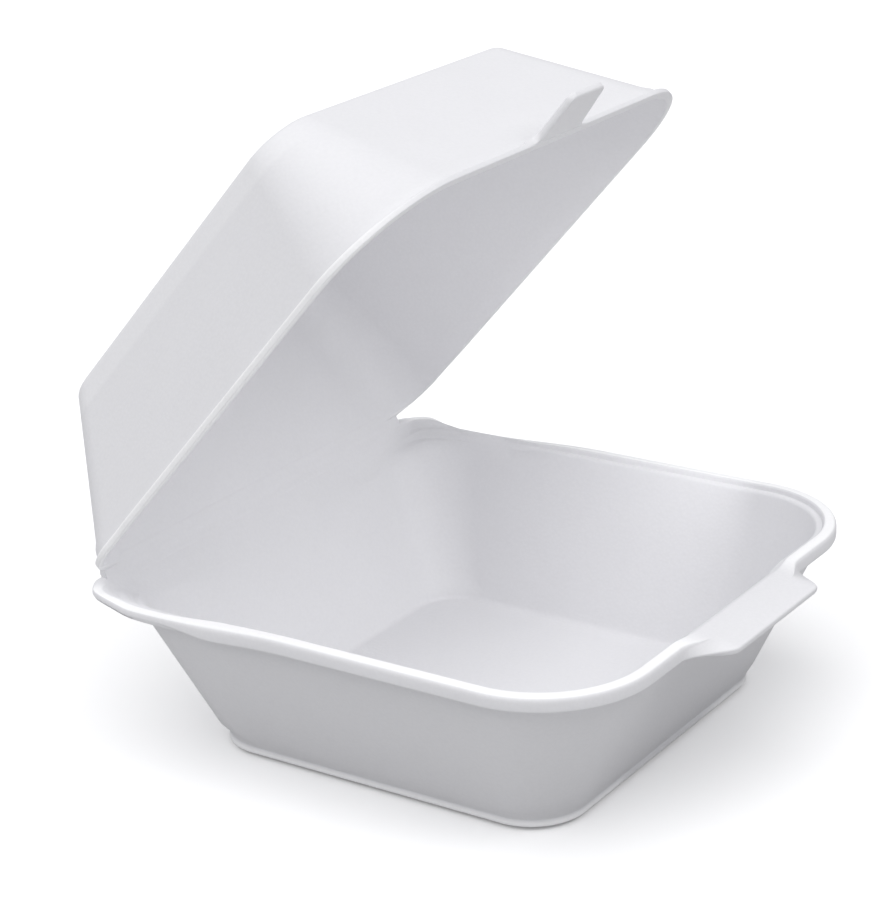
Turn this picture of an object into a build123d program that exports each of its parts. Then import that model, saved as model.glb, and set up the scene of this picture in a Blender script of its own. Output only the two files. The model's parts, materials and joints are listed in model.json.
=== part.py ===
from build123d import *
from math import cos, radians, sin
import os

# A hinged foam food container, pressed from one sheet: a tray, a lid and the crease between
# them. The origin is the centre of the tray's underside, +Z is up, the hinge runs along X at
# the back (+Y), and the front with its pull flap faces -Y. Millimetres and degrees.

# Sheet
wall = 2.0                  # foam thickness of walls, floor and lid
running_gap = 0.3           # space between the closed lid and the tray's rim

# Tray
rim_width = 130.0           # over the rolled rim, side to side
rim_length = 130.0          # over the rolled rim, front to back
front_radius = 26.0         # rim corners at the front
back_radius = 8.0           # rim corners beside the hinge
tray_height = 40.4
foot_width = 95.6
foot_length = 91.3
foot_radius = 12.0
foot_edge = 0.8             # small rounding that the tray stands on

# Rolled rim of the tray
roll_width = 3.1            # how far the roll stands out from the wall
roll_height = 3.7
roll_crown = 1.5            # rounding over the top of the roll
roll_under = 0.5            # rounding under the roll
ledge_width = 1.5           # step inside the roll, where the wall begins
ledge_depth = 1.3

# Crease between tray and lid
hinge_length = 108.0        # straight part of the back edge that stays joined
hinge_thickness = 1.2       # the sheet is pressed thin along the crease

# Pull flap on the tray's front
flap_root_width = 52.0
flap_tip_width = 40.0
flap_reach = 8.7            # beyond the rim's outer edge
flap_thickness = 1.6
flap_droop = 10.0           # below level
flap_corner = 4.0

# Lid
lid_inset = 0.8             # the lid's edge lies this far inside the rim's outer edge
lid_height = 35.0
lid_top_width = 91.7
lid_top_length = 95.5
lid_top_radius = 11.0
lid_back_lean = 13.5        # how far the back wall leans in over the lid's height
open_angle = 48.0           # the lid stands open by this much from closed

# Closing tongue on the lid's front
tongue_width = 16.5
tongue_tip_width = 13.0
tongue_reach = 13.0         # beyond the lid's front edge
tongue_thickness = 1.6
tongue_corner = 2.5
tongue_root_radius = 3.5    # hollow rounding where the tongue leaves the lid

# Where the pieces meet, from the sizes above
wall_top = tray_height - roll_height
mouth_level = tray_height - ledge_depth
tray_lean = (rim_width / 2 - roll_width - foot_width / 2) / wall_top
tray_wall_run = wall * (1 + tray_lean**2) ** 0.5
hinge_y = rim_length / 2 + running_gap / 2
hinge_z = tray_height + running_gap / 2
lid_width = rim_width - 2 * lid_inset
lid_length = rim_length - lid_inset
lid_lean = (lid_width - lid_top_width) / 2 / lid_height
lid_wall_run = wall * (1 + lid_lean**2) ** 0.5


def outline(width, length, front, back, shift=0.0):
    """A rectangle centred shift along Y, with its own corner radii at the front and the back."""
    with BuildSketch(mode=Mode.PRIVATE) as shape:
        with Locations((0, shift)):
            Rectangle(width, length)
        fillet(shape.vertices().group_by(Axis.Y)[0], radius=front)
        fillet(shape.vertices().group_by(Axis.Y)[-1], radius=back)
    return shape.sketch


def rim_outline(inset):
    """The tray's rim seen from above, drawn inset from its outer edge."""
    return outline(
        rim_width - 2 * inset, rim_length - 2 * inset, front_radius - inset, back_radius - inset
    )


# Tray: rolled rim, crease strip, pull flap, walls and floor,
# then the hollow and the ledge inside the roll
flap_plane = Plane(
    origin=(0, -rim_length / 2 + roll_crown, tray_height),
    x_dir=(1, 0, 0),
    z_dir=(0, -sin(radians(flap_droop)), cos(radians(flap_droop))),
)

with BuildPart() as tray:
    with BuildSketch(Plane.XY.offset(wall_top)):
        add(rim_outline(0))
    extrude(amount=roll_height)
    fillet(tray.edges().group_by(Axis.Z)[-1], radius=roll_crown)
    fillet(tray.edges().group_by(Axis.Z)[0], radius=roll_under)
    with BuildSketch(Plane.XY.offset(tray_height)):
        with Locations((0, (rim_length - roll_width) / 2)):
            Rectangle(hinge_length, roll_width)
    extrude(amount=-hinge_thickness)

    with BuildSketch(flap_plane) as flap:
        half_root = flap_root_width / 2
        half_tip = flap_tip_width / 2
        edge = -flap_reach - roll_crown
        with BuildLine():
            Polyline(
                (-half_root, 0), (-half_tip, edge), (half_tip, edge), (half_root, 0), close=True
            )
        make_face()
        fillet(flap.vertices().group_by(Axis.Y)[0], radius=flap_corner)
    extrude(amount=-flap_thickness)

    with BuildSketch(Plane.XY):
        add(outline(foot_width, foot_length, foot_radius, foot_radius))
    with BuildSketch(Plane.XY.offset(wall_top)):
        add(rim_outline(roll_width))
    loft()
    fillet(tray.edges().group_by(Axis.Z)[0], radius=foot_edge)

    floor_inset = tray_wall_run - tray_lean * wall
    floor_radius = foot_radius - floor_inset
    with BuildSketch(Plane.XY.offset(wall)):
        add(
            outline(
                foot_width - 2 * floor_inset,
                foot_length - 2 * floor_inset,
                floor_radius,
                floor_radius,
            )
        )
    with BuildSketch(Plane.XY.offset(mouth_level)):
        add(rim_outline(roll_width + ledge_width))
    loft(mode=Mode.SUBTRACT)
    with BuildSketch(Plane.XY.offset(mouth_level)):
        add(rim_outline(roll_width))
    extrude(amount=ledge_depth, mode=Mode.SUBTRACT)

tray.part.label = "tray"

# Lid: drawn on the plane of its own edge, which is turned open about the hinge
hinge_plane = Plane(
    origin=(0, hinge_y, hinge_z),
    x_dir=(1, 0, 0),
    z_dir=(0, sin(radians(open_angle)), cos(radians(open_angle))),
)
lid_edge = hinge_plane.offset(running_gap / 2)
lid_back = -running_gap / 2
lid_front = lid_back - lid_length
lid_middle = (lid_back + lid_front) / 2
lid_top_middle = lid_back - lid_back_lean - lid_top_length / 2
lid_crown_inset = lid_wall_run - lid_lean * wall
lid_crown_radius = lid_top_radius - lid_crown_inset

with BuildPart() as lid:
    with BuildSketch(lid_edge):
        add(
            outline(
                lid_width,
                lid_length,
                front_radius - lid_inset,
                back_radius - lid_inset,
                lid_middle,
            )
        )
    with BuildSketch(lid_edge.offset(lid_height)):
        add(
            outline(
                lid_top_width, lid_top_length, lid_top_radius, lid_top_radius, lid_top_middle
            )
        )
    loft()

    with BuildSketch(lid_edge):
        add(
            outline(
                lid_width - 2 * lid_wall_run,
                lid_length - 2 * lid_wall_run,
                front_radius - lid_inset - lid_wall_run,
                back_radius - lid_inset - lid_wall_run,
                lid_middle,
            )
        )
    with BuildSketch(lid_edge.offset(lid_height - wall)):
        add(
            outline(
                lid_top_width - 2 * lid_crown_inset,
                lid_top_length - 2 * lid_crown_inset,
                lid_crown_radius,
                lid_crown_radius,
                lid_top_middle,
            )
        )
    loft(mode=Mode.SUBTRACT)

    with BuildSketch(lid_edge) as tongue:
        half = tongue_width / 2
        shoulder = half + 2 * tongue_root_radius
        root = lid_front + lid_wall_run / 2
        tip = lid_front - tongue_reach
        with BuildLine():
            Polyline(
                (-shoulder, root),
                (-shoulder, lid_front),
                (-half, lid_front),
                (-tongue_tip_width / 2, tip),
                (tongue_tip_width / 2, tip),
                (half, lid_front),
                (shoulder, lid_front),
                (shoulder, root),
                close=True,
            )
        make_face()
        fillet(tongue.vertices().group_by(Axis.Y)[0], radius=tongue_corner)
        fillet(tongue.vertices().sort_by_distance((0, lid_front))[:2], radius=tongue_root_radius)
    extrude(amount=tongue_thickness)

lid.part.label = "lid"

os.makedirs("parts", exist_ok=True)
export_step(tray.part, "parts/tray.step")
export_step(lid.part, "parts/lid.step")
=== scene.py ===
import json
import math

import bpy
from mathutils import Matrix, Vector


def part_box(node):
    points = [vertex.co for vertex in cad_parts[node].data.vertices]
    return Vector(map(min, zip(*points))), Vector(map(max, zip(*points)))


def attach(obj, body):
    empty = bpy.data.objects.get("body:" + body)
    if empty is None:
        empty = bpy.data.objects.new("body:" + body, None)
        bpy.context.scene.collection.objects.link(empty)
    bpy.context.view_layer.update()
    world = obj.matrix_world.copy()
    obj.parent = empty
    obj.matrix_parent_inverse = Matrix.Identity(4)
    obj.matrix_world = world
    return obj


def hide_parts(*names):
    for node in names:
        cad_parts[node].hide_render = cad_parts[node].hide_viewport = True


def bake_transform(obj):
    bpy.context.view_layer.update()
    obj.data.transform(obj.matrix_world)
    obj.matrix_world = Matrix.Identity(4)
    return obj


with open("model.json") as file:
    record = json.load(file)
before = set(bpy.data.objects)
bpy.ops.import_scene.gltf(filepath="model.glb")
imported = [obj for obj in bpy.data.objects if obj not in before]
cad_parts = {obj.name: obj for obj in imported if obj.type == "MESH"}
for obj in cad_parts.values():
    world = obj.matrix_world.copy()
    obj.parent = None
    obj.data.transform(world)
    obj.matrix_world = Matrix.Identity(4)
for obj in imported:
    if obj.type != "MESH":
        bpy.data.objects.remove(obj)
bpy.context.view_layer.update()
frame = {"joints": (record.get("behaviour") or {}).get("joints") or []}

# ------------------------------------------------------------------------------------------
# The tray: the lower half of one sheet of white polystyrene foam, softened by heat and pressed
# between moulds. Its walls slope out to a rolled rim, which opens into a pull flap at the front
# and into a plain, thinner lip that dips towards the crease at the back.
# ------------------------------------------------------------------------------------------

MM = 0.001
tray_low, tray_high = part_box("tray")
RIM_HALF = tray_high.x / MM
RIM_BACK = RIM_HALF
TRAY_HEIGHT = tray_high.z / MM
FRONT_RADIUS = 26.0
BACK_RADIUS = 8.0
SHEET = 2.0

FOOT_HALF = 46.9
FOOT_END = 45.0
FOOT_RADIUS = 12.0
FOOT_BEAD = 0.9          # the small rounded edge above the recess that the tray stands in
ROLL_WIDTH = 3.1
ROLL_HEIGHT = 3.7
WALL_TOP = TRAY_HEIGHT - ROLL_HEIGHT
SECTION_END = 6.15       # the rim's section ends this far in, and this far down,
SECTION_DROP = 5.4       # on the wall's inner face

FLAP_REACH = 8.7
FLAP_FLAT_HALF = 17.5    # the flap's straight edge ends here, and
FLAP_ROOT_HALF = 26.5    # here the rim is a plain roll again
LIP_START = 27.0         # along Y, where the roll begins to open into the plain lip
LIP_FULL = 44.0
CREASE_HALF = 57.0       # half of the straight crease that joins tray and lid
CREASE_FADE = 3.0        # forward of the crease, where its section has become the lip's
BACK_FLARE = 15.0        # the walls' back corners are rounder than the rim's by this much
BAND_OUTER = 0.25        # the crease's edge on each half lies between these two insets
BAND_INNER = 1.95
RIM_DIP = 2.0            # how far the rim dips before it comes up to the crease
DIP_START = 8.0          # along Y, where the dip begins, and
DIP_FULL = 46.0          # where it is deepest
DIP_RECOVERY = (5.0, 15.0)   # from the crease, the stretch over which the rim comes up again
ARC_HEIGHT = 27.0        # the back wall leans out above an arc of this height, which rises by
ARC_RISE = 6.5           # this much to its ends
ARC_SOFTNESS = 0.32

crease = next(j for j in frame["joints"] if j["name"] == "lid_hinge")
CREASE_Y = crease["pos_m"][1] / MM
CREASE_Z = crease["pos_m"][2] / MM
OPEN_ANGLE = math.radians(-crease["range_deg"][0])


def mix(a, b, share):
    """A point or a number between a and b."""
    if isinstance(a, (tuple, list)):
        return tuple(p + (q - p) * share for p, q in zip(a, b))
    return a + (b - a) * share


def rounded_path(corners, steps=5):
    """Points along a path of (across, up, radius) corners, with each corner rounded.
    Paths with as many corners give as many points."""
    points = [Vector(corners[0][:2])]
    for before, corner, after in zip(corners, corners[1:], corners[2:]):
        at = Vector(corner[:2])
        back, ahead = Vector(before[:2]) - at, Vector(after[:2]) - at
        half_turn = (math.pi - back.angle(ahead)) / 2
        trim = min(corner[2] * math.tan(half_turn), 0.49 * back.length, 0.49 * ahead.length)
        start, end = at + back.normalized() * trim, at + ahead.normalized() * trim
        for i in range(steps + 1):
            t = i / steps
            points.append(start.lerp(at, t).lerp(at.lerp(end, t), t))
    points.append(Vector(corners[-1][:2]))
    return [tuple(p) for p in points]


def adder(tree):
    """A function that adds nodes to the tree. It takes a node's settings by name, and its inputs by
    name or number, each a plain value or another node's output."""

    def add(kind, inputs=(), **settings):
        node = tree.nodes.new(kind)
        for key, value in settings.items():
            setattr(node, key, value)
        for key, value in dict(inputs).items():
            if isinstance(value, bpy.types.NodeSocket):
                tree.links.new(value, node.inputs[key])
            else:
                node.inputs[key].default_value = value
        return node

    return add


def give_sockets(tree, in_out, sockets):
    """Named sockets on the tree's interface, from (name, kind) pairs."""
    for name, kind in sockets:
        tree.interface.new_socket(name, in_out=in_out, socket_type=f"NodeSocket{kind}")


def ruled_outline_group():
    """One point of a rounded rectangle. Size is (half width, front, back) and Corners is (front radius,
    back radius). A point is named by how far along the straights it lies and which way it faces."""
    tree = bpy.data.node_groups.new("ruled_outline", "GeometryNodeTree")
    give_sockets(tree, "INPUT", [(n, "Vector") for n in ("Size", "Corners", "Along", "Facing")])
    give_sockets(tree, "OUTPUT", [("Point", "Vector")])
    add = adder(tree)
    given = add("NodeGroupInput").outputs
    size = add("ShaderNodeSeparateXYZ", {0: given["Size"]}).outputs
    corners = add("ShaderNodeSeparateXYZ", {0: given["Corners"]}).outputs
    along = add("ShaderNodeSeparateXYZ", {0: given["Along"]}).outputs

    def math_node(operation, a, b, c=0.0):
        return add("ShaderNodeMath", {0: a, 1: b, 2: c}, operation=operation).outputs[0]

    def between(a, b, share):
        return add("ShaderNodeMix", {"Factor": share, "A": a, "B": b}, clamp_factor=False).outputs["Result"]

    radius = between(corners["X"], corners["Y"], along["Y"])
    straight = math_node("SUBTRACT", size["X"], radius)
    across = math_node("MULTIPLY", along["X"], straight)
    front = math_node("ADD", size["Y"], corners["X"])
    back = math_node("SUBTRACT", size["Z"], corners["Y"])
    centre = add("ShaderNodeCombineXYZ", {"X": across, "Y": between(front, back, along["Y"])}).outputs[0]
    out = add("ShaderNodeVectorMath", {0: given["Facing"], "Scale": radius}, operation="SCALE").outputs[0]
    point = add("ShaderNodeVectorMath", {0: centre, 1: out}, operation="ADD").outputs[0]
    add("NodeGroupOutput", {"Point": point})
    return tree


SECTIONS = ("plain", "lip", "flap", "crease")


def pressed_shell_tree():
    """A pressed foam half. Its stations, one point for each row, hold the sheet's section as (share from
    foot to rim, shift out, height) beside the plain rim, the lip, the flap and the crease. Each row is
    drawn once round, between the foot's and the rim's outlines."""
    tree = bpy.data.node_groups.new("pressed_shell", "GeometryNodeTree")
    give_sockets(tree, "INPUT", [("Stations", "Geometry"), ("Columns per Stretch", "Int")])
    vectors = ("Foot Size", "Foot Corners", "Rim Size", "Rim Corners", "Place")
    give_sockets(tree, "INPUT", [(n, "Vector") for n in vectors])
    floats = (
        "Flap Flat Half", "Flap Root Half", "Lip Start", "Lip Full", "Crease Half", "Crease Fade",
        "Arc Height", "Wall Top", "Dip", "Dip Start", "Dip Full", "Open Angle", "Millimetre",
    )
    give_sockets(tree, "INPUT", [(n, "Float") for n in floats])
    give_sockets(tree, "INPUT", [("Foam", "Material")])
    give_sockets(tree, "OUTPUT", [("Shell", "Geometry")])
    add = adder(tree)
    given = add("NodeGroupInput").outputs

    def math_node(operation, a, b=0.0, c=0.0):
        return add("ShaderNodeMath", {0: a, 1: b, 2: c}, operation=operation).outputs[0]

    def ramp(value, low, high, to=1.0, kind="LINEAR"):
        inputs = {"Value": value, "From Min": low, "From Max": high, "To Min": 0.0, "To Max": to}
        return add("ShaderNodeMapRange", inputs, interpolation_type=kind).outputs["Result"]

    def vector(operation, a, b=None, scale=None):
        inputs = {0: a}
        if b is not None:
            inputs[1] = b
        if scale is not None:
            inputs["Scale"] = scale
        return add("ShaderNodeVectorMath", inputs, operation=operation).outputs[0]

    def between(a, b, share):
        inputs = {"Factor": share, 4: a, 5: b}
        return add("ShaderNodeMix", inputs, data_type="VECTOR", clamp_factor=False).outputs[1]

    # A grid with a row for each station, and a column for each place round the outline.
    rows = add(
        "GeometryNodeAttributeDomainSize", {0: given["Stations"]}, component="MESH"
    ).outputs["Point Count"]
    columns = math_node("MULTIPLY_ADD", given["Columns per Stretch"], 8, 1)
    grid = add("GeometryNodeMeshGrid", {"Vertices X": columns, "Vertices Y": rows}).outputs["Mesh"]
    index = add("GeometryNodeInputIndex").outputs[0]
    row = math_node("FLOORED_MODULO", index, rows)
    column = math_node("FLOOR", math_node("DIVIDE", math_node("ADD", index, 0.5), rows))
    turn = math_node("DIVIDE", column, given["Columns per Stretch"])

    # Round the outline: half the front, corner, side, corner, back, corner, side, corner, half the front.
    corners_done = [ramp(turn, start, start + 1) for start in (0.5, 2.5, 4.5, 6.5)]
    quarter_turns = corners_done[0]
    for done in corners_done[1:]:
        quarter_turns = math_node("ADD", quarter_turns, done)
    angle = math_node("MULTIPLY", quarter_turns, math.pi / 2)
    facing_x = math_node("SINE", angle)
    facing_y = math_node("MULTIPLY", math_node("COSINE", angle), -1)
    facing = add("ShaderNodeCombineXYZ", {"X": facing_x, "Y": facing_y}).outputs[0]
    along_x = math_node("ADD", ramp(turn, 0.0, 0.5), ramp(turn, 3.5, 4.5, -2.0))
    along_x = math_node("ADD", along_x, ramp(turn, 7.5, 8.0))
    along_y = math_node("ADD", ramp(turn, 1.5, 2.5), ramp(turn, 5.5, 6.5, -1.0))
    along = add("ShaderNodeCombineXYZ", {"X": along_x, "Y": along_y}).outputs[0]

    outline = bpy.data.node_groups.get("ruled_outline") or ruled_outline_group()
    rim = add("GeometryNodeGroup", node_tree=outline)
    for socket, value in zip(rim.inputs, (given["Rim Size"], given["Rim Corners"], along, facing)):
        tree.links.new(value, socket)
    rim_at = add("ShaderNodeSeparateXYZ", {0: rim.outputs[0]}).outputs
    aside = math_node("ABSOLUTE", rim_at["X"])

    # Which section the rim has at this place.
    at_front = ramp(facing_y, -0.3, -0.98, kind="SMOOTHSTEP")
    flap = ramp(aside, given["Flap Root Half"], given["Flap Flat Half"], kind="SMOOTHSTEP")
    flap = math_node("MULTIPLY", flap, at_front)
    lip = ramp(rim_at["Y"], given["Lip Start"], given["Lip Full"], kind="SMOOTHSTEP")
    rim_back = add("ShaderNodeSeparateXYZ", {0: given["Rim Size"]}).outputs["Z"]
    from_crease = math_node("SUBTRACT", rim_back, rim_at["Y"])
    creased = ramp(from_crease, given["Crease Fade"], 0.1, kind="SMOOTHSTEP")

    def station(name, kind):
        field = add("GeometryNodeInputNamedAttribute", {"Name": name}, data_type=kind).outputs[0]
        inputs = {"Geometry": given["Stations"], "Value": field, "Index": row}
        return add("GeometryNodeSampleIndex", inputs, data_type=kind).outputs[0]

    section = station(SECTIONS[0], "FLOAT_VECTOR")
    for name, share in zip(SECTIONS[1:], (lip, flap, creased)):
        section = between(section, station(name, "FLOAT_VECTOR"), share)
    state = add("ShaderNodeSeparateXYZ", {0: station("state", "FLOAT_VECTOR")}).outputs
    spread, leans, droops = state["X"], state["Y"], state["Z"]
    section = add("ShaderNodeSeparateXYZ", {0: section}).outputs
    share, shift, height = section["X"], section["Y"], section["Z"]

    # The point itself, between the two outlines.
    size = between(given["Foot Size"], given["Rim Size"], share)
    flare = add("ShaderNodeCombineXYZ", {"Y": station("flare", "FLOAT")}).outputs[0]
    corners = vector("ADD", between(given["Foot Corners"], given["Rim Corners"], share), flare)
    here = add("GeometryNodeGroup", node_tree=outline)
    for socket, value in zip(here.inputs, (size, corners, along, facing)):
        tree.links.new(value, socket)
    flat = vector("ADD", here.outputs[0], vector("SCALE", facing, scale=shift))
    ends = add("ShaderNodeSeparateXYZ", {0: size}).outputs
    middle_y = math_node("MULTIPLY", math_node("ADD", ends["Y"], ends["Z"]), 0.5)
    middle = add("ShaderNodeCombineXYZ", {"Y": middle_y}).outputs[0]
    flat = between(middle, flat, spread)

    # The back wall leans out to the crease, above a soft arc that is higher at its ends.
    bow = math_node("POWER", math_node("DIVIDE", aside, given["Crease Half"]), 2)
    arc = math_node("MULTIPLY_ADD", bow, ARC_RISE, given["Arc Height"])
    wall_above = math_node("SUBTRACT", given["Wall Top"], arc)
    above = math_node("DIVIDE", math_node("SUBTRACT", height, arc), wall_above)
    lean = math_node("SMOOTH_MAX", above, 0.0, ARC_SOFTNESS)
    lean = math_node("MULTIPLY", math_node("MULTIPLY", lean, leans), creased)

    # The rim dips, and comes up again to the crease.
    dip = ramp(rim_at["Y"], given["Dip Start"], given["Dip Full"], kind="SMOOTHSTEP")
    dip = math_node("MULTIPLY", dip, ramp(from_crease, *DIP_RECOVERY, kind="SMOOTHSTEP"))
    dip = math_node("MULTIPLY", math_node("MULTIPLY", dip, given["Dip"]), droops)
    level = math_node("SUBTRACT", height, dip)
    lifted = add("ShaderNodeCombineXYZ", {"Y": lean, "Z": level}).outputs[0]
    drawn = vector("ADD", flat, lifted)

    turned = add(
        "ShaderNodeVectorRotate",
        {"Vector": drawn, "Center": (0, 0, 0), "Angle": given["Open Angle"]},
        rotation_type="X_AXIS",
    ).outputs[0]
    placed = vector("SCALE", vector("ADD", turned, given["Place"]), scale=given["Millimetre"])
    shell = add("GeometryNodeSetPosition", {"Geometry": grid, "Position": placed}).outputs[0]
    # Painted highlight: the rows marked for it get a whiter colour, left off over the crease and the flap,
    # and on the lid along the front edge.
    plain = math_node("MULTIPLY", math_node("SUBTRACT", 1.0, creased), math_node("SUBTRACT", 1.0, flap))
    edge = math_node("MULTIPLY", station("pressed", "FLOAT"), plain)
    shell = add(
        "GeometryNodeStoreNamedAttribute",
        {"Geometry": shell, "Name": "pressed_edge", "Value": edge},
        data_type="FLOAT",
        domain="POINT",
    ).outputs[0]
    shell = add("GeometryNodeMergeByDistance", {"Geometry": shell, "Distance": 0.000002}).outputs[0]
    shell = add("GeometryNodeSetShadeSmooth", {"Geometry": shell}).outputs[0]
    shell = add("GeometryNodeRealizeInstances", {"Geometry": shell}).outputs[0]
    shell = add("GeometryNodeSetMaterial", {"Geometry": shell, "Material": given["Foam"]}).outputs[0]
    add("NodeGroupOutput", {"Shell": shell})
    return tree


def station_row(section, pressed=0.0, spread=1.0, leans=0.0, flare=0.0, droops=0.0):
    """One row: a section point, or one for each kind of rim. Spread draws it between a point and the
    whole outline, flare rounds its back corners more, and leans and droops are its shares of the back
    wall's lean and the rim's dip. Its highlight mark is its share of the whiter colour painted on as an
    edge highlight."""
    points = section if isinstance(section, dict) else {name: section for name in SECTIONS}
    return {"points": points, "pressed": pressed, "flare": flare, "state": (spread, leans, droops)}


def pressed_shell(name, stations, sizes, foam):
    """The plain closed mesh that the tree makes of these stations and sizes."""
    line = bpy.data.meshes.new(name + "_stations")
    line.from_pydata([(0, 0, 0)] * len(stations), [], [])
    for section in SECTIONS:
        values = [v for s in stations for v in s["points"][section]]
        line.attributes.new(section, "FLOAT_VECTOR", "POINT").data.foreach_set("vector", values)
    values = [v for s in stations for v in s["state"]]
    line.attributes.new("state", "FLOAT_VECTOR", "POINT").data.foreach_set("vector", values)
    for mark in ("pressed", "flare"):
        values = [s[mark] for s in stations]
        line.attributes.new(mark, "FLOAT", "POINT").data.foreach_set("value", values)
    piece = bpy.data.objects.new(name, line)
    bpy.context.scene.collection.objects.link(piece)
    press = piece.modifiers.new("press", "NODES")
    press.node_group = bpy.data.node_groups.get("pressed_shell") or pressed_shell_tree()
    for item in press.node_group.interface.items_tree:
        if item.in_out == "INPUT" and item.name in sizes:
            press[item.identifier] = sizes[item.name]
        elif item.name == "Foam":
            press[item.identifier] = foam
    bpy.context.view_layer.update()
    evaluated = piece.evaluated_get(bpy.context.evaluated_depsgraph_get())
    mesh = bpy.data.meshes.new_from_object(evaluated)
    mesh.name = name
    piece.modifiers.remove(press)
    piece.data = mesh
    bpy.data.meshes.remove(line)
    return piece


def foam_detail_group():
    """Cells just under the pressed skin: faint colour, gloss and relief that vary over the surface."""
    group = bpy.data.node_groups.new("foam_skin_detail", "ShaderNodeTree")
    give_sockets(group, "INPUT", [("Cells per Metre", "Float"), ("Cloudiness", "Float")])
    give_sockets(group, "OUTPUT", [("Tone", "Float"), ("Gloss Shift", "Float"), ("Height", "Float")])
    add = adder(group)
    given = add("NodeGroupInput").outputs
    where = add("ShaderNodeTexCoord").outputs["Object"]
    cells = add(
        "ShaderNodeTexVoronoi",
        {"Vector": where, "Scale": given["Cells per Metre"], "Smoothness": 0.6},
        feature="SMOOTH_F1",
    ).outputs["Distance"]
    clouds = add("ShaderNodeTexNoise", {"Vector": where, "Scale": 45.0, "Detail": 3.0}).outputs[0]
    cloud = add("ShaderNodeMath", {0: clouds, 1: 0.5}, operation="SUBTRACT").outputs[0]
    tone = add(
        "ShaderNodeMath", {0: cloud, 1: given["Cloudiness"], 2: 1.0}, operation="MULTIPLY_ADD"
    ).outputs[0]
    tone = add("ShaderNodeMath", {0: cells, 1: -0.03, 2: tone}, operation="MULTIPLY_ADD").outputs[0]
    gloss = add("ShaderNodeMath", {0: cloud, 1: 0.12}, operation="MULTIPLY").outputs[0]
    add("NodeGroupOutput", {"Tone": tone, "Gloss Shift": gloss, "Height": cells})
    return group


CELL_RELIEF = 0.1 * MM


def foam_material(name, face_colour, highlight_colour, roughness, cells_per_metre):
    """White foam with a painted highlight: rows marked by the edge mask get a whiter colour than its faces.
    """
    material = bpy.data.materials.new(name)
    material.use_nodes = True
    add = adder(material.node_tree)
    skin = material.node_tree.nodes["Principled BSDF"]
    skin.inputs["IOR"].default_value = 1.45
    group = bpy.data.node_groups.get("foam_skin_detail") or foam_detail_group()
    detail = add("ShaderNodeGroup", node_tree=group)
    detail.inputs["Cells per Metre"].default_value = cells_per_metre
    detail.inputs["Cloudiness"].default_value = 0.03
    # Painted highlight: the edge mask blends the faces' white towards the whiter highlight colour.
    edge = add("ShaderNodeAttribute", attribute_name="pressed_edge").outputs["Fac"]
    paint = add("ShaderNodeMix", data_type="RGBA")
    colour_inputs = [socket for socket in paint.inputs if socket.type == "RGBA"]
    for socket, colour in zip(colour_inputs, (face_colour, highlight_colour)):
        socket.default_value = (*colour, 1)
    material.node_tree.links.new(edge, paint.inputs["Factor"])
    painted = next(socket for socket in paint.outputs if socket.type == "RGBA")
    tone, gloss_shift, height = detail.outputs
    shade = add("ShaderNodeHueSaturation", {"Color": painted, "Value": tone}).outputs[0]
    rough = add("ShaderNodeMath", {0: gloss_shift, 1: roughness}, operation="ADD").outputs[0]
    relief = {"Strength": 0.25, "Distance": CELL_RELIEF, "Height": height}
    bump = add("ShaderNodeBump", relief).outputs[0]
    for value, key in ((shade, "Base Color"), (rough, "Roughness"), (bump, "Normal")):
        material.node_tree.links.new(value, skin.inputs[key])
    return material


# The foam's own white, and the whiter colour painted on its edges as a highlight.
FACE_WHITE = (0.80, 0.798, 0.815)
EDGE_HIGHLIGHT_WHITE = (0.98, 0.98, 0.985)
foam = foam_material("white_foam", FACE_WHITE, EDGE_HIGHLIGHT_WHITE, roughness=0.5, cells_per_metre=1250)

H = TRAY_HEIGHT
wall_lean = (RIM_HALF - ROLL_WIDTH - FOOT_HALF) / WALL_TOP
inner_run = SHEET * math.sqrt(1 + wall_lean**2)
section_foot = (SECTION_END, H - SECTION_DROP, 0)

# Sections of the rim as (inset, height, rounding) corners, from the wall's outside over the top. Each
# has as many corners, so that one can turn into another round the rim.
roll = rounded_path(
    [
        (ROLL_WIDTH, WALL_TOP, 0),
        (2.35, H - 1.7, 0.35),
        (1.7, H - 1.7, 0.35),
        (1.6, H - 3.6, 0.2),
        (0.0, H - 3.7, 1.35),
        (0.0, H, 1.6),
        (2.9, H, 1.2),
        (3.2, H - 1.3, 0.2),
        (4.6, H - 1.3, 1.8),
        section_foot,
    ]
)
lip = rounded_path(
    [
        (ROLL_WIDTH, WALL_TOP, 0),
        (2.5, H - 2.9, 0.8),
        (1.3, H - 2.5, 0.8),
        (0.3, H - 2.1, 0.5),
        (0.0, H - 1.1, 0.5),
        (0.1, H, 0.6),
        (1.6, H - 0.2, 1.2),
        (2.9, H - 1.4, 1.5),
        (4.4, H - 3.1, 1.5),
        section_foot,
    ]
)
flap = rounded_path(
    [
        (ROLL_WIDTH, WALL_TOP, 0),
        (2.2, H - 1.9, 0.8),
        (0.6, H - 2.0, 0.8),
        (-FLAP_REACH + 0.3, H - 3.2, 0.4),
        (-FLAP_REACH, H - 1.7, 0.6),
        (-2.5, H - 0.7, 3.0),
        (1.6, H - 0.1, 1.6),
        (2.9, H - 0.9, 0.9),
        (4.4, H - 2.6, 1.8),
        section_foot,
    ]
)


def even_path(legs):
    """Evenly spaced points along straight legs, given as (from, to, how many points)."""
    return [mix(a, b, i / count) for a, b, count in legs for i in range(count)]


crease_foot = (2.1, WALL_TOP)
crease_inner = (5.15, H - SECTION_DROP)
count = len(roll)
hinge = even_path(
    [
        (crease_foot, (BAND_OUTER, H - 0.1), count // 2),
        ((BAND_OUTER, H), (BAND_INNER, H), 6),
        ((BAND_INNER, H - 0.1), crease_inner, count - count // 2 - 7),
    ]
)
hinge.append(crease_inner)

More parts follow.
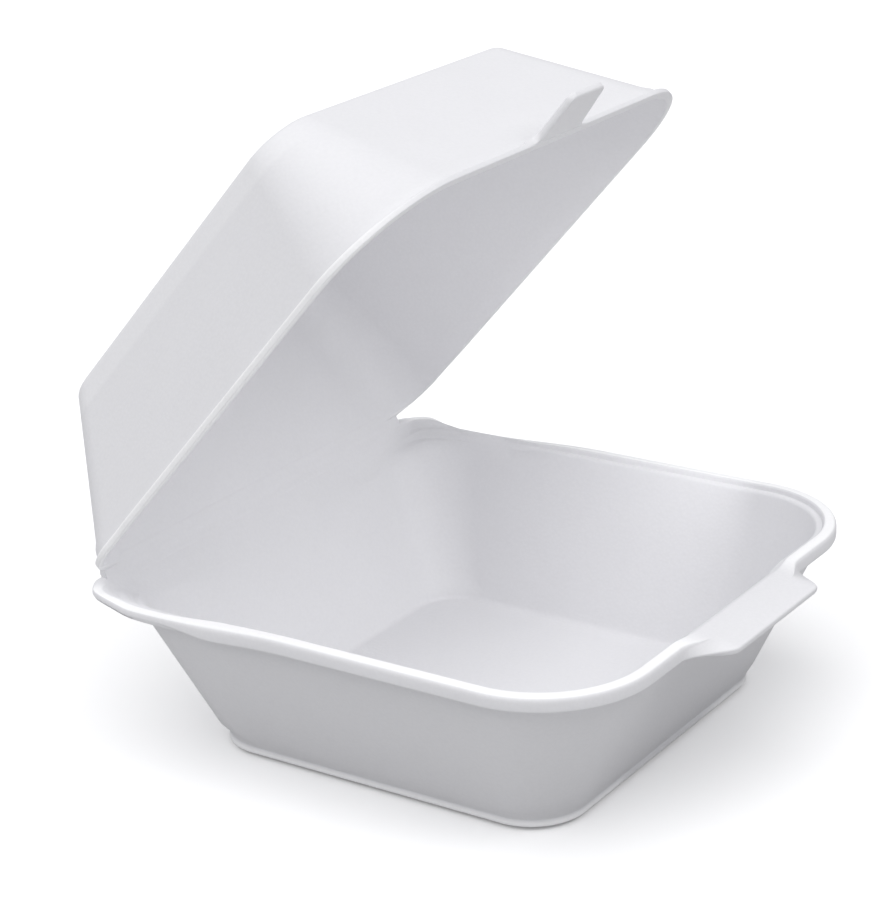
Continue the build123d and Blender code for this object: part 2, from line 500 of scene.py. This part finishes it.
# The rows, from the middle of the underside out and up, over the rim and down to the floor's middle.
FLAT_SPREADS = (0, 0.2, 0.5, 0.8, 0.95)
FOOT_RECESS = -4.5
stations = [station_row((0, FOOT_RECESS, 0), spread=c) for c in FLAT_SPREADS]
foot_path = rounded_path(
    [
        (FOOT_RECESS, 0.0, 0),
        (-3.6, 0.0, 0.2),
        (-3.2, 0.8, 0.3),
        (FOOT_BEAD, 0.9, 0.3),
        (FOOT_BEAD, 1.7, 0.5),
        (0.9, 2.6, 0.5),
        (1.7, 4.0, 0),
    ],
    steps=4,
)
for out, z in foot_path:
    point = (0, out if z < 2.9 else z * wall_lean, z)
    # Painted highlight: the foot bead's rows are painted whiter.
    pressed = 1.0 if 0.9 < z < 2.3 else 0.0
    stations.append(station_row(point, pressed=pressed, flare=BACK_FLARE * z / WALL_TOP))
wall_heights = [6 + i * 2.4 for i in range(12)] + [33.6, 34.8, 35.9]   # closer under the rim
for z in wall_heights:
    share = z / WALL_TOP
    flare = BACK_FLARE * share
    stations.append(station_row((share, -ROLL_WIDTH * share, z), leans=1.0, flare=flare, droops=share))
for i, points in enumerate(zip(roll, lip, flap, hinge)):
    # The rim's own back corners are tight, and both ends of its section join the rounder walls.
    # All its outside droops, and its top less and less towards the wall's inside.
    over_top = roll[i][1] > H - 0.1 or i > count / 2
    stations.append(
        station_row(
            {name: (1, -inset, z) for name, (inset, z) in zip(SECTIONS, points)},
            # Painted highlight: the crown's top rows are painted whiter.
            pressed=1.0 if roll[i][1] > H - 0.5 and roll[i][0] < 2.6 else 0.0,
            droops=max(0.0, 1 - lip[i][0] / 3.2) if over_top else 1.0,
            flare=BACK_FLARE * (1 - min(1.0, 1.35 * min(i, count - 1 - i) / (count / 2))),
        )
    )
floor_inset = inner_run - wall_lean * SHEET
mouth_z = H - SECTION_DROP
for z in [z for z in reversed(wall_heights) if z < mouth_z - 0.5]:
    share = (z - SHEET) / (mouth_z - SHEET)
    inset = mix(floor_inset, SECTION_END, share)
    stations.append(station_row((share, -inset, z), leans=1.0, flare=BACK_FLARE * share))
floor_path = rounded_path([(wall_lean * 2.8, SHEET + 2.8, 0), (0.0, SHEET, 1.5), (-3.0, SHEET, 0)], steps=6)
for out, z in floor_path:
    flare = BACK_FLARE * (z - SHEET) / (mouth_z - SHEET)
    stations.append(station_row((0, out - floor_inset, z), flare=flare))
stations += [station_row((0, -3.0 - floor_inset, SHEET), spread=c) for c in FLAT_SPREADS[::-1]]

tray = pressed_shell(
    "foam_tray",
    stations,
    {
        "Columns per Stretch": 64,
        "Foot Size": (FOOT_HALF, -FOOT_END, FOOT_END),
        "Foot Corners": (FOOT_RADIUS, FOOT_RADIUS, 0),
        "Rim Size": (RIM_HALF, -RIM_HALF, RIM_BACK),
        "Rim Corners": (FRONT_RADIUS, BACK_RADIUS, 0),
        "Place": (0, 0, 0),
        "Flap Flat Half": FLAP_FLAT_HALF,
        "Flap Root Half": FLAP_ROOT_HALF,
        "Lip Start": LIP_START,
        "Lip Full": LIP_FULL,
        "Crease Half": CREASE_HALF,
        "Crease Fade": CREASE_FADE,
        "Arc Height": ARC_HEIGHT,
        "Wall Top": WALL_TOP,
        "Dip": RIM_DIP,
        "Dip Start": DIP_START,
        "Dip Full": DIP_FULL,
        "Open Angle": 0.0,
        "Millimetre": MM,
    },
    foam,
)
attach(tray, "tray")
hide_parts("tray")

# ------------------------------------------------------------------------------------------
# The lid: the upper half of the same sheet, a plain dome with a thin edge all round. It is drawn
# shut, with the crease at the origin, and turned open about it.
# ------------------------------------------------------------------------------------------

LID_INSET = 0.8
LID_BACK = RIM_BACK - CREASE_Y
LID_HALF = RIM_HALF - LID_INSET
LID_FRONT = LID_BACK - (2 * RIM_HALF - LID_INSET)
LID_LIFT = 0.15          # the edge's underside above the crease
LID_HEIGHT = 35.0
LID_TOP_HALF = 45.85
LID_TOP_LENGTH = 95.5
LID_BACK_SLOPE = 13.5    # the back wall slopes in by this much from the crease to the top
LID_TOP_BACK = LID_BACK - LID_BACK_SLOPE
LID_TOP_RADIUS = 11.0
LID_BEAD = 0.5           # the edge stands proud of the wall by this much, and at the
CORNER_BEAD = 0.1        # back corners by this much
EDGE_THICKNESS = 1.5
LID_FLARE = 7.0          # extra radius that the back corners gain from the top to the edge
LID_CORNER_START = 46.0  # along Y, where the edge begins to draw in to the back corner
LID_CORNER_FULL = 53.0
UNHIGHLIT_FRONT_HALF = 50.0   # the painted edge highlight is left off the front edge to here, each side of the middle, and fades in towards the sides beyond it
FRONT_HIGHLIGHT_FULL = 70.0    # middle, and fades towards the sides' white beyond it

lid_lean = (LID_HALF - LID_TOP_HALF) / LID_HEIGHT
lid_run = SHEET * math.sqrt(1 + lid_lean**2)


def lid_edge(bead):
    """The edge's section as (inset, height) points, from the wall's outside to its inside."""
    return rounded_path(
        [
            (lid_lean * 3.6, 3.6, 0),
            (lid_lean * 1.9, EDGE_THICKNESS + 0.2, 0.5),
            (0.3 - bead, EDGE_THICKNESS, 0.3),
            (-bead, EDGE_THICKNESS - 0.3, 0.4),
            (-bead, 0.1, 0.5),
            (0.4 - bead, 0.0, 0.3),
            (lid_run - 0.7, 0.0, 0.4),
            (lid_run + 0.1, 1.0, 0.6),
            (lid_lean * 2.8 + lid_run, 2.8, 0),
        ],
        steps=4,
    )


plain_edge = lid_edge(LID_BEAD)
corner_edge = lid_edge(CORNER_BEAD)
back_lean = LID_BACK_SLOPE / LID_HEIGHT
back_run = SHEET * math.sqrt(1 + back_lean**2)
count = len(plain_edge)
crease_edge = even_path(
    [
        ((back_lean * 3.6, 3.6), (BAND_OUTER, 0.1), count // 2),
        ((BAND_OUTER, 0.0), (BAND_INNER, 0.0), 5),
        ((BAND_INNER, 0.1), (back_lean * 2.8 + back_run, 2.8), count - count // 2 - 6),
    ]
)
crease_edge.append((back_lean * 2.8 + back_run, 2.8))

# The rows, from the middle of the top out and down to the edge, and back up inside.
stations = [station_row((0, -4.0, LID_HEIGHT), spread=c) for c in FLAT_SPREADS]
top_path = rounded_path([(-4.0, 0.0, 0), (0.0, 0.0, 2.4), (lid_lean * 5, -5.0, 0)], steps=9)
for out, down in top_path:
    share = -down / LID_HEIGHT
    point = (share, out + down * lid_lean, LID_HEIGHT + down)
    # Painted highlight: the top's rounded edge is painted a little whiter.
    stations.append(station_row(point, pressed=0.2, flare=LID_FLARE * share))
lid_heights = [LID_HEIGHT - 6 - i * (LID_HEIGHT - 6 - 5) / 12 for i in range(13)]
for z in lid_heights:
    stations.append(station_row((1 - z / LID_HEIGHT, 0, z), flare=LID_FLARE * (1 - z / LID_HEIGHT)))
for i, points in enumerate(zip(plain_edge, corner_edge, plain_edge, crease_edge)):
    names = dict(zip(SECTIONS, points))
    rim_points = {name: (1, -inset, z) for name, (inset, z) in names.items()}
    inset, z = plain_edge[i]
    # Painted highlight: the edge's outer rows are painted whiter.
    pressed = 1.0 if z < EDGE_THICKNESS + 0.1 and inset < 0.4 else 0.0
    stations.append(station_row(rim_points, pressed=pressed, flare=LID_FLARE))
inner_top_inset = lid_run - lid_lean * SHEET
for z in [z for z in reversed(lid_heights) if z < LID_HEIGHT - SHEET - 4]:
    share = 1 - z / (LID_HEIGHT - SHEET)
    stations.append(station_row((share, -mix(inner_top_inset, lid_run, share), z), flare=LID_FLARE * share))
inner_top_path = rounded_path([(-4.0, 0.0, 0), (0.0, 0.0, 2.0), (lid_lean * 4, -4.0, 0)], steps=7)
for out, down in reversed(inner_top_path):
    z = LID_HEIGHT - SHEET + down
    share = -down / (LID_HEIGHT - SHEET)
    point = (share, -mix(inner_top_inset, lid_run, share) + out + down * lid_lean, z)
    stations.append(station_row(point, flare=LID_FLARE * share))
inner_top = (0, -4.0 - inner_top_inset, LID_HEIGHT - SHEET)
stations += [station_row(inner_top, spread=c) for c in FLAT_SPREADS[::-1]]

lid = pressed_shell(
    "foam_lid",
    stations[::-1],      # in reverse, so that the faces point outwards
    {
        "Columns per Stretch": 64,
        "Foot Size": (LID_TOP_HALF, LID_TOP_BACK - LID_TOP_LENGTH, LID_TOP_BACK),
        "Foot Corners": (LID_TOP_RADIUS, LID_TOP_RADIUS, 0),
        "Rim Size": (LID_HALF, LID_FRONT, LID_BACK),
        "Rim Corners": (FRONT_RADIUS - LID_INSET, BACK_RADIUS - LID_INSET, 0),
        "Place": (0, CREASE_Y, CREASE_Z),
        "Flap Flat Half": UNHIGHLIT_FRONT_HALF,
        "Flap Root Half": FRONT_HIGHLIGHT_FULL,
        "Lip Start": LID_CORNER_START - CREASE_Y,
        "Lip Full": LID_CORNER_FULL - CREASE_Y,
        "Crease Half": CREASE_HALF,
        "Crease Fade": CREASE_FADE,
        "Arc Height": 0.0,
        "Wall Top": LID_HEIGHT,
        "Dip": 0.0,
        "Dip Start": DIP_START - CREASE_Y,
        "Dip Full": DIP_FULL - CREASE_Y,
        "Open Angle": -OPEN_ANGLE,
        "Millimetre": MM,
    },
    foam,
)
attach(lid, "lid")
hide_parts("lid")

# ------------------------------------------------------------------------------------------
# The tongue: a tab of the lid's own edge, pressed thin, at the middle of the front. It tucks
# behind the tray's flap when the lid is shut.
# ------------------------------------------------------------------------------------------

TONGUE_REACH = 13.0
TONGUE_HALF = 8.25
TONGUE_TIP_HALF = 6.5
TONGUE_CORNER = 2.2
TONGUE_ROOT_RADIUS = 4.0
TONGUE_ROOT_HALF = 12.0
TONGUE_THICKNESS = 1.6
TONGUE_ROUNDING = 0.45
TONGUE_LIFT = 0.1        # its underside above the edge's
TONGUE_CURL = 0.8        # the tip stands this much higher
SHARP_ANGLE = 40


def open_lid(x, y, z):
    """From the shut lid, with the crease at the origin, to its place when it stands open."""
    c, s = math.cos(OPEN_ANGLE), math.sin(OPEN_ANGLE)
    return Vector((x, CREASE_Y + y * c + z * s, CREASE_Z - y * s + z * c)) * MM


def ringed_shell(name, rings, foam):
    """A closed smooth mesh through rings of as many points, with a flat cap on each end."""
    around = len(rings[0])
    verts = [p for ring in rings for p in ring]
    faces = []
    for r in range(len(rings) - 1):
        for i in range(around):
            j = (i + 1) % around
            faces.append((r * around + i, r * around + j, (r + 1) * around + j, (r + 1) * around + i))
    last = (len(rings) - 1) * around
    for i in range(around // 2 - 1):
        for start in (0, last):
            a, b = start + i, start + i + 1
            c, d = start + around - 2 - i, start + around - 1 - i
            faces.append((a, b, c, d) if start else (d, c, b, a))
    mesh = bpy.data.meshes.new(name)
    mesh.from_pydata(verts, [], faces)
    mesh.polygons.foreach_set("use_smooth", [True] * len(faces))
    mesh.materials.append(foam)
    # The tongue's highlight mask is zero: no painted highlight on it.
    mask = mesh.attributes.new("pressed_edge", "FLOAT", "POINT")
    mask.data.foreach_set("value", [0.0] * len(verts))
    mesh.update()
    mesh.set_sharp_from_angle(angle=math.radians(SHARP_ANGLE))
    piece = bpy.data.objects.new(name, mesh)
    bpy.context.scene.collection.objects.link(piece)
    return piece


tongue_side = [(TONGUE_ROOT_HALF, -1.2)] + rounded_path(
    [
        (TONGUE_ROOT_HALF, 0.45, 0),
        (TONGUE_HALF, 0.7, TONGUE_ROOT_RADIUS),
        (TONGUE_TIP_HALF, TONGUE_REACH, TONGUE_CORNER),
        (0.0, TONGUE_REACH, 0),
    ],
    steps=10,
)[:-1]
rings = []
across = 16
for half, reach in tongue_side:
    end = max(0.0, (reach - (TONGUE_REACH - TONGUE_ROUNDING)) / TONGUE_ROUNDING)
    thin = TONGUE_ROUNDING * (1 - math.sqrt(max(0.0, 1 - end * end)))
    curl = TONGUE_CURL * (max(0.0, reach) / TONGUE_REACH) ** 2
    low, high = TONGUE_LIFT + thin, TONGUE_LIFT + TONGUE_THICKNESS - thin
    ring = []
    for level, sense in ((low, 1), (high, -1)):
        for i in range(across + 1):
            share = sense * (2 * i / across - 1)
            share = math.sin(share * math.pi / 2)
            edge = max(0.0, (abs(share) * half - (half - TONGUE_ROUNDING)) / TONGUE_ROUNDING)
            lift = TONGUE_ROUNDING * (1 - math.sqrt(max(0.0, 1 - edge * edge))) * 0.8
            z = level + (lift if level == low else -lift)
            ring.append(open_lid(share * half, LID_FRONT - reach, LID_LIFT + z + curl))
    rings.append(ring)
tongue = ringed_shell("lid_tongue", rings, foam)
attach(tongue, "lid")

# ------------------------------------------------------------------------------------------
# The crease: the same foam pressed thin along a straight line, about which the lid swings.
# It is drawn round the crease's axis, from inside the tray's edge to inside the lid's.
# ------------------------------------------------------------------------------------------

# Its section as (distance from the axis, degrees up from level) points: up the inner face from the
# tray to the lid, then back down beside the axis.
CREASE_ROUND = (
    (4.20, -38), (3.70, -32), (3.075, -25), (2.46, -14), (2.17, -5), (2.06, 4), (1.99, 14), (1.97, 24),
    (1.99, 34), (2.07, 44), (2.23, 53), (2.48, 62), (2.975, 73), (3.44, 80), (3.75, 86), (0.50, 75),
    (0.40, 24), (0.50, -27),
)
CREASE_RINGS = 41

rings = []
for i in range(CREASE_RINGS):
    x = (2 * i / (CREASE_RINGS - 1) - 1) * CREASE_HALF
    ring = []
    for radius, degrees in reversed(CREASE_ROUND):
        a = math.radians(degrees)
        ring.append(Vector((x, CREASE_Y - radius * math.cos(a), CREASE_Z + radius * math.sin(a))) * MM)
    rings.append(ring)
web = ringed_shell("crease_web", rings, foam)
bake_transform(web)

# ------------------------------------------------------------------------------------------
# The floor, the light and the camera.
# ------------------------------------------------------------------------------------------

FLOOR_BOUNCE = 0.55      # the floor throws back less light than it shows
FLOOR_SEEN = 0.98
FLOOR_GLOW = 0.12
SKY_LIGHT = 0.5
SKY_SEEN = 1.05          # behind the floor the studio is as white as the floor itself

floor_mesh = bpy.data.meshes.new("studio_floor")
floor_mesh.from_pydata([(-6, -6, 0), (6, -6, 0), (6, 6, 0), (-6, 6, 0)], [], [(0, 1, 2, 3)])
studio_floor = bpy.data.objects.new("studio_floor", floor_mesh)
bpy.context.scene.collection.objects.link(studio_floor)
floor_material = bpy.data.materials.new("pale_floor")
floor_material.use_nodes = True
add = adder(floor_material.node_tree)
floor_skin = floor_material.node_tree.nodes["Principled BSDF"]
floor_skin.inputs["Roughness"].default_value = 0.9
seen = add("ShaderNodeLightPath").outputs["Is Camera Ray"]
tone = add("ShaderNodeMapRange", {"Value": seen, "To Min": FLOOR_BOUNCE, "To Max": FLOOR_SEEN}).outputs[0]
floor_material.node_tree.links.new(tone, floor_skin.inputs["Base Color"])
glow = add("ShaderNodeMath", {0: seen, 1: FLOOR_GLOW}, operation="MULTIPLY").outputs[0]
floor_material.node_tree.links.new(glow, floor_skin.inputs["Emission Strength"])
floor_mesh.materials.append(floor_material)

world = bpy.data.worlds.new("studio")
bpy.context.scene.world = world
world.use_nodes = True
sky = world.node_tree.nodes["Background"]
sky.inputs["Color"].default_value = (0.96, 0.965, 1.0, 1)
add = adder(world.node_tree)
seen = add("ShaderNodeLightPath").outputs["Is Camera Ray"]
strength = add("ShaderNodeMapRange", {"Value": seen, "To Min": SKY_LIGHT, "To Max": SKY_SEEN}).outputs[0]
world.node_tree.links.new(strength, sky.inputs["Strength"])


def soft_light(name, kind, energy, towards, size, place=(0, 0, 0)):
    """A lamp that shines along the towards vector; size is an angle for the sun and a width for a panel."""
    lamp = bpy.data.lights.new(name, kind)
    lamp.energy = energy
    if kind == "SUN":
        lamp.angle = size
    else:
        lamp.shape = "RECTANGLE"
        lamp.size, lamp.size_y = size
    lamp_object = bpy.data.objects.new(name, lamp)
    bpy.context.scene.collection.objects.link(lamp_object)
    lamp_object.location = Vector(place) * MM
    lamp_object.rotation_euler = Vector(towards).to_track_quat("-Z", "Y").to_euler()
    lamp_object.visible_camera = False
    return lamp_object


soft_light("overhead_soft", "SUN", 1.8, (0.36, -0.04, -0.93), math.radians(75))
soft_light("front_soft", "AREA", 1.2, (-0.12, 0.74, -0.66), (0.5, 0.3), place=(110, -640, 640))
soft_light("mouth_fill", "AREA", 0.02, (-0.1, 1.0, 0.05), (0.08, 0.018), place=(10, -43, 58))

bpy.context.scene.view_settings.view_transform = "Standard"

CAMERA_AZIMUTH = math.radians(-55.68)
CAMERA_ELEVATION = math.radians(20.64)
CAMERA_ROLL = math.radians(-2.15)
CAMERA_DISTANCE = 629.19 * MM
CAMERA_TARGET = Vector((15.67, 20.89, 52.71)) * MM
camera_data = bpy.data.cameras.new("camera")
camera_data.lens = 107.0
camera = bpy.data.objects.new("camera", camera_data)
bpy.context.scene.collection.objects.link(camera)
back = Vector(
    (
        math.sin(CAMERA_AZIMUTH) * math.cos(CAMERA_ELEVATION),
        -math.cos(CAMERA_AZIMUTH) * math.cos(CAMERA_ELEVATION),
        math.sin(CAMERA_ELEVATION),
    )
)
turn = (-back).to_track_quat("-Z", "Y").to_matrix() @ Matrix.Rotation(CAMERA_ROLL, 3, "Z")
camera.matrix_world = Matrix.Translation(CAMERA_TARGET + back * CAMERA_DISTANCE) @ turn.to_4x4()
bpy.context.scene.camera = camera
